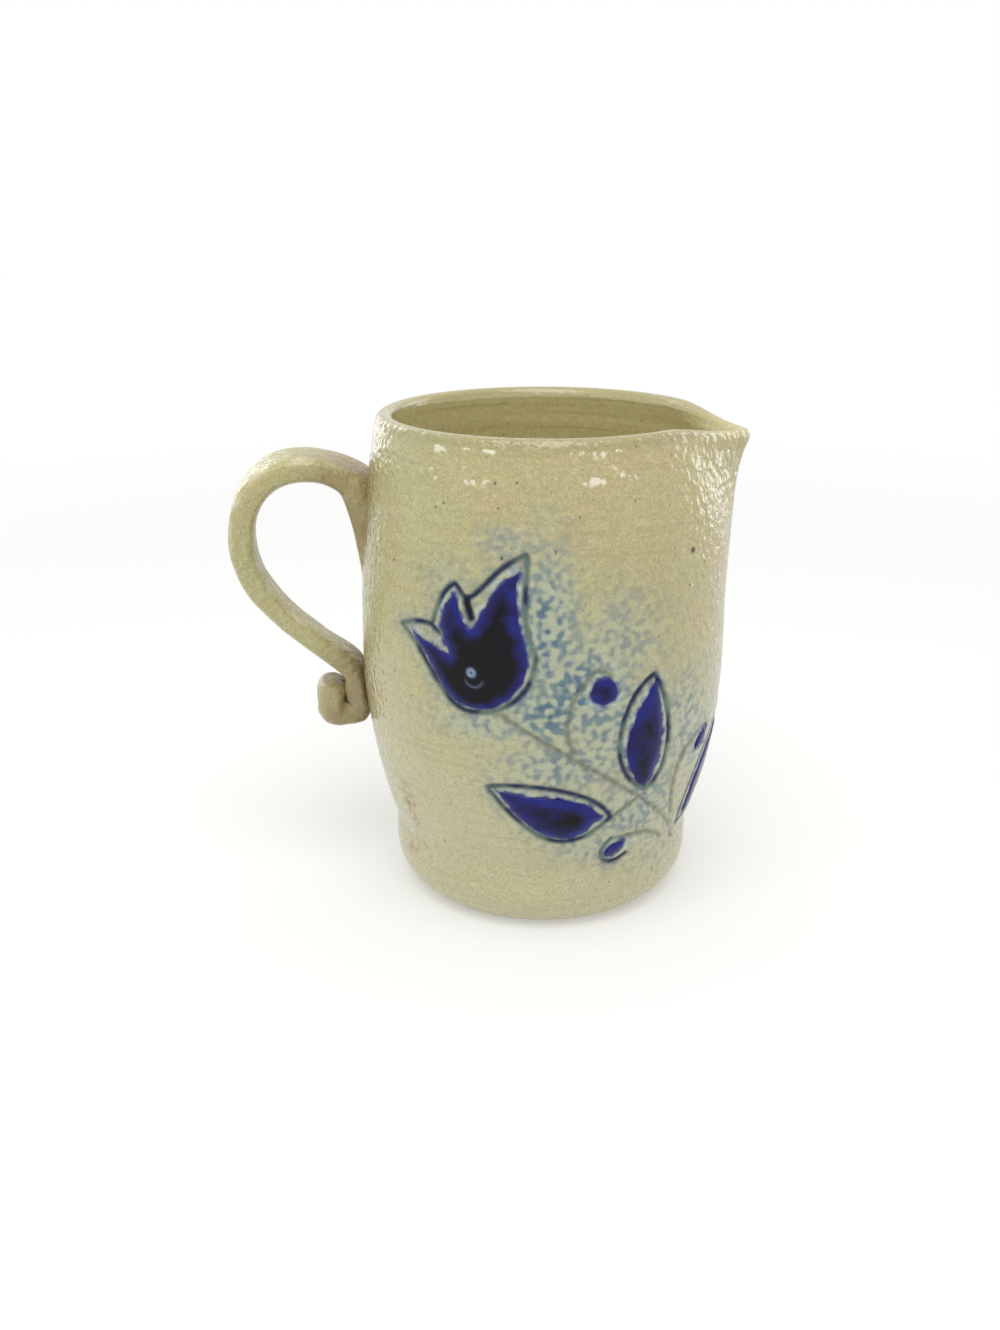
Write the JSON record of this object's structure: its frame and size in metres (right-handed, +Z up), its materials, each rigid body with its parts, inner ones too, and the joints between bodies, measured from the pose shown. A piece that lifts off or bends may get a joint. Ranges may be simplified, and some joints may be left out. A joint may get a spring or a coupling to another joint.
{
  "type": "pitcher",
  "caption": "Small hand-thrown salt-glazed stoneware pitcher, barrel shaped, with a pulled pouring lip, a strap handle with a rolled tail and an incised tulip spray in cobalt",
  "frame": {"origin": "centre of the flat base, on the surface the pitcher stands on", "axes": "+Z up along the axis of the barrel, +X towards the pouring lip, the handle about along -X, the decorated side towards -Y"},
  "size_m": [0.1317, 0.0957, 0.127],
  "materials": {
    "stoneware": "salt glaze, satin with a fine orange-peel texture",
    "slip": "salt glaze, satin",
    "cobalt": "gloss"
  },
  "bodies": {
    "root": {"body": "stoneware", "handle": "stoneware", "upper_slip": "slip", "lower_slip": "slip", "tulip_glaze": "cobalt", "low_leaf_glaze": "cobalt", "side_leaf_glaze": "cobalt", "berry_glaze": "cobalt", "low_bud_glaze": "cobalt", "far_bud_glaze": "cobalt", "far_leaf_glaze": "cobalt"}
  },
  "joints": []
}
